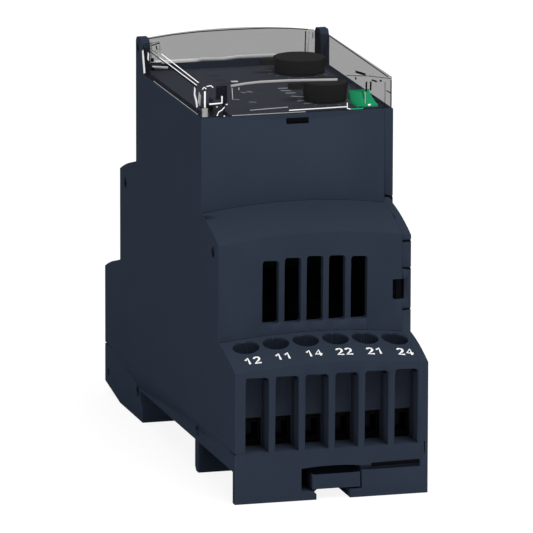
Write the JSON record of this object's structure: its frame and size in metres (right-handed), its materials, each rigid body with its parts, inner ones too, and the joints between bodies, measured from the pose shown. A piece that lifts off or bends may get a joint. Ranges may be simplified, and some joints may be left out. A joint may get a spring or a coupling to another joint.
{
  "type": "current monitoring relay",
  "caption": "Narrow rail-mounted monitoring relay with stepped casing, screw terminals on both ends, two setting knobs and a button under a hinged clear cover.",
  "frame": {"origin": "middle of the footprint, on the plane of the rail feet; the relay lies on its back", "axes": "+X to the right along the rail, +Y from the output terminals to the input terminals, +Z out of the rail towards the clear cover"},
  "size_m": [0.035, 0.09, 0.0711],
  "materials": {
    "housing_plastic": "dark blue-grey moulded casing, finely textured",
    "front_plastic": "dark blue-grey moulded front plate with printed scales",
    "carrier_plastic": "darker grey moulded terminal carrier",
    "clear_plastic": "clear moulded plastic, polished",
    "knob_plastic": "black knurled plastic",
    "button_plastic": "green moulded plastic",
    "black_plastic": "black moulded plastic",
    "lamp_plastic": "small surface lamps",
    "board_laminate": "green printed circuit laminate",
    "steel": "zinc-plated steel",
    "plated_steel": "nickel-plated steel clamp",
    "tinned_copper": "tinned copper bar",
    "core_steel": "laminated core",
    "copper_winding": "enamelled copper winding",
    "capacitor_can": "sleeved aluminium can",
    "shunt_alloy": "bent resistance strip"
  },
  "bodies": {
    "casing": {"main_housing": "housing_plastic", "side_cover": "housing_plastic", "rail_base": "housing_plastic", "clip_spring": "steel", "output_terminal_carrier": "carrier_plastic", "input_terminal_carrier": "carrier_plastic", "output_contact_bars": "tinned_copper", "input_contact_bars": "tinned_copper", "front_plate": "front_plastic", "potentiometers": "board_laminate", "button_switch": "black_plastic", "light_guides": "clear_plastic", "indicator_lamps": "lamp_plastic", "base_board": "board_laminate", "front_board": "board_laminate", "riser_board": "board_laminate", "output_relay_1": "black_plastic", "output_relay_2": "black_plastic", "supply_transformer": "core_steel", "transformer_winding": "copper_winding", "supply_capacitors": "capacitor_can", "current_shunt": "shunt_alloy"},
    "clear_cover": {"clear_cover": "clear_plastic"},
    "value_knob": {"value_knob": "knob_plastic"},
    "delay_knob": {"delay_knob": "knob_plastic"},
    "diagnosis_button": {"diagnosis_button": "button_plastic"},
    "rail_clip": {"rail_clip": "housing_plastic"},
    "output_terminal_screw_1": {"output_terminal_screw_1": "steel"},
    "output_clamp_cage_1": {"output_clamp_cage_1": "plated_steel"},
    "output_terminal_screw_2": {"output_terminal_screw_2": "steel"},
    "output_clamp_cage_2": {"output_clamp_cage_2": "plated_steel"},
    "output_terminal_screw_3": {"output_terminal_screw_3": "steel"},
    "output_clamp_cage_3": {"output_clamp_cage_3": "plated_steel"},
    "output_terminal_screw_4": {"output_terminal_screw_4": "steel"},
    "output_clamp_cage_4": {"output_clamp_cage_4": "plated_steel"},
    "output_terminal_screw_5": {"output_terminal_screw_5": "steel"},
    "output_clamp_cage_5": {"output_clamp_cage_5": "plated_steel"},
    "output_terminal_screw_6": {"output_terminal_screw_6": "steel"},
    "output_clamp_cage_6": {"output_clamp_cage_6": "plated_steel"},
    "input_terminal_screw_1": {"input_terminal_screw_1": "steel"},
    "input_clamp_cage_1": {"input_clamp_cage_1": "plated_steel"},
    "input_terminal_screw_2": {"input_terminal_screw_2": "steel"},
    "input_clamp_cage_2": {"input_clamp_cage_2": "plated_steel"},
    "input_terminal_screw_3": {"input_terminal_screw_3": "steel"},
    "input_clamp_cage_3": {"input_clamp_cage_3": "plated_steel"},
    "input_terminal_screw_4": {"input_terminal_screw_4": "steel"},
    "input_clamp_cage_4": {"input_clamp_cage_4": "plated_steel"},
    "input_terminal_screw_5": {"input_terminal_screw_5": "steel"},
    "input_clamp_cage_5": {"input_clamp_cage_5": "plated_steel"},
    "input_terminal_screw_6": {"input_terminal_screw_6": "steel"},
    "input_clamp_cage_6": {"input_clamp_cage_6": "plated_steel"}
  },
  "joints": [
    {"name": "cover_hinge", "type": "hinge", "parent": "casing", "child": "clear_cover", "pos_m": [0, 0.0211, 0.0686], "axis": [-1, 0, 0], "range_deg": [0, 105]},
    {"name": "value_knob_turn", "type": "hinge", "parent": "casing", "child": "value_knob", "pos_m": [0.0105, 0.0133, 0.0643], "axis": [0, 0, 1], "range_deg": [-110, 130]},
    {"name": "delay_knob_turn", "type": "hinge", "parent": "casing", "child": "delay_knob", "pos_m": [0.0079, -0.0123, 0.0643], "axis": [0, 0, 1], "range_deg": [-170, 70]},
    {"name": "button_press", "type": "slide", "parent": "casing", "child": "diagnosis_button", "axis": [0, 0, -1], "range_m": [0, 0.0008], "stiffness_N_per_m": 800, "springref_m": -0.001},
    {"name": "rail_clip_slide", "type": "slide", "parent": "casing", "child": "rail_clip", "axis": [0, -1, 0], "range_m": [0, 0.0035], "stiffness_N_per_m": 3000, "springref_m": -0.002, "deforming": ["clip_spring"]},
    {"name": "output_screw_1_turn", "type": "hinge", "parent": "casing", "child": "output_terminal_screw_1", "pos_m": [-0.0135, -0.0377, 0.0202], "axis": [0, 0, -1], "range_deg": [0, 2160]},
    {"name": "output_clamp_1_rise", "type": "slide", "parent": "casing", "child": "output_clamp_cage_1", "axis": [0, 0, 1], "range_m": [0, 0.003]},
    {"name": "output_screw_2_turn", "type": "hinge", "parent": "casing", "child": "output_terminal_screw_2", "pos_m": [-0.0081, -0.0377, 0.0202], "axis": [0, 0, -1], "range_deg": [0, 2160]},
    {"name": "output_clamp_2_rise", "type": "slide", "parent": "casing", "child": "output_clamp_cage_2", "axis": [0, 0, 1], "range_m": [0, 0.003]},
    {"name": "output_screw_3_turn", "type": "hinge", "parent": "casing", "child": "output_terminal_screw_3", "pos_m": [-0.0027, -0.0377, 0.0202], "axis": [0, 0, -1], "range_deg": [0, 2160]},
    {"name": "output_clamp_3_rise", "type": "slide", "parent": "casing", "child": "output_clamp_cage_3", "axis": [0, 0, 1], "range_m": [0, 0.003]},
    {"name": "output_screw_4_turn", "type": "hinge", "parent": "casing", "child": "output_terminal_screw_4", "pos_m": [0.0027, -0.0377, 0.0202], "axis": [0, 0, -1], "range_deg": [0, 2160]},
    {"name": "output_clamp_4_rise", "type": "slide", "parent": "casing", "child": "output_clamp_cage_4", "axis": [0, 0, 1], "range_m": [0, 0.003]},
    {"name": "output_screw_5_turn", "type": "hinge", "parent": "casing", "child": "output_terminal_screw_5", "pos_m": [0.0081, -0.0377, 0.0202], "axis": [0, 0, -1], "range_deg": [0, 2160]},
    {"name": "output_clamp_5_rise", "type": "slide", "parent": "casing", "child": "output_clamp_cage_5", "axis": [0, 0, 1], "range_m": [0, 0.003]},
    {"name": "output_screw_6_turn", "type": "hinge", "parent": "casing", "child": "output_terminal_screw_6", "pos_m": [0.0135, -0.0377, 0.0202], "axis": [0, 0, -1], "range_deg": [0, 2160]},
    {"name": "output_clamp_6_rise", "type": "slide", "parent": "casing", "child": "output_clamp_cage_6", "axis": [0, 0, 1], "range_m": [0, 0.003]},
    {"name": "input_screw_1_turn", "type": "hinge", "parent": "casing", "child": "input_terminal_screw_1", "pos_m": [-0.0135, 0.0377, 0.0202], "axis": [0, 0, -1], "range_deg": [0, 2160]},
    {"name": "input_clamp_1_rise", "type": "slide", "parent": "casing", "child": "input_clamp_cage_1", "axis": [0, 0, 1], "range_m": [0, 0.003]},
    {"name": "input_screw_2_turn", "type": "hinge", "parent": "casing", "child": "input_terminal_screw_2", "pos_m": [-0.0081, 0.0377, 0.0202], "axis": [0, 0, -1], "range_deg": [0, 2160]},
    {"name": "input_clamp_2_rise", "type": "slide", "parent": "casing", "child": "input_clamp_cage_2", "axis": [0, 0, 1], "range_m": [0, 0.003]},
    {"name": "input_screw_3_turn", "type": "hinge", "parent": "casing", "child": "input_terminal_screw_3", "pos_m": [-0.0027, 0.0377, 0.0202], "axis": [0, 0, -1], "range_deg": [0, 2160]},
    {"name": "input_clamp_3_rise", "type": "slide", "parent": "casing", "child": "input_clamp_cage_3", "axis": [0, 0, 1], "range_m": [0, 0.003]},
    {"name": "input_screw_4_turn", "type": "hinge", "parent": "casing", "child": "input_terminal_screw_4", "pos_m": [0.0027, 0.0377, 0.0202], "axis": [0, 0, -1], "range_deg": [0, 2160]},
    {"name": "input_clamp_4_rise", "type": "slide", "parent": "casing", "child": "input_clamp_cage_4", "axis": [0, 0, 1], "range_m": [0, 0.003]},
    {"name": "input_screw_5_turn", "type": "hinge", "parent": "casing", "child": "input_terminal_screw_5", "pos_m": [0.0081, 0.0377, 0.0202], "axis": [0, 0, -1], "range_deg": [0, 2160]},
    {"name": "input_clamp_5_rise", "type": "slide", "parent": "casing", "child": "input_clamp_cage_5", "axis": [0, 0, 1], "range_m": [0, 0.003]},
    {"name": "input_screw_6_turn", "type": "hinge", "parent": "casing", "child": "input_terminal_screw_6", "pos_m": [0.0135, 0.0377, 0.0202], "axis": [0, 0, -1], "range_deg": [0, 2160]},
    {"name": "input_clamp_6_rise", "type": "slide", "parent": "casing", "child": "input_clamp_cage_6", "axis": [0, 0, 1], "range_m": [0, 0.003]}
  ],
  "couplings": [
    {"joint": "output_screw_1_turn", "follows": "output_clamp_1_rise", "rad_per_m": 12566},
    {"joint": "output_screw_2_turn", "follows": "output_clamp_2_rise", "rad_per_m": 12566},
    {"joint": "output_screw_3_turn", "follows": "output_clamp_3_rise", "rad_per_m": 12566},
    {"joint": "output_screw_4_turn", "follows": "output_clamp_4_rise", "rad_per_m": 12566},
    {"joint": "output_screw_5_turn", "follows": "output_clamp_5_rise", "rad_per_m": 12566},
    {"joint": "output_screw_6_turn", "follows": "output_clamp_6_rise", "rad_per_m": 12566},
    {"joint": "input_screw_1_turn", "follows": "input_clamp_1_rise", "rad_per_m": 12566},
    {"joint": "input_screw_2_turn", "follows": "input_clamp_2_rise", "rad_per_m": 12566},
    {"joint": "input_screw_3_turn", "follows": "input_clamp_3_rise", "rad_per_m": 12566},
    {"joint": "input_screw_4_turn", "follows": "input_clamp_4_rise", "rad_per_m": 12566},
    {"joint": "input_screw_5_turn", "follows": "input_clamp_5_rise", "rad_per_m": 12566},
    {"joint": "input_screw_6_turn", "follows": "input_clamp_6_rise", "rad_per_m": 12566}
  ]
}
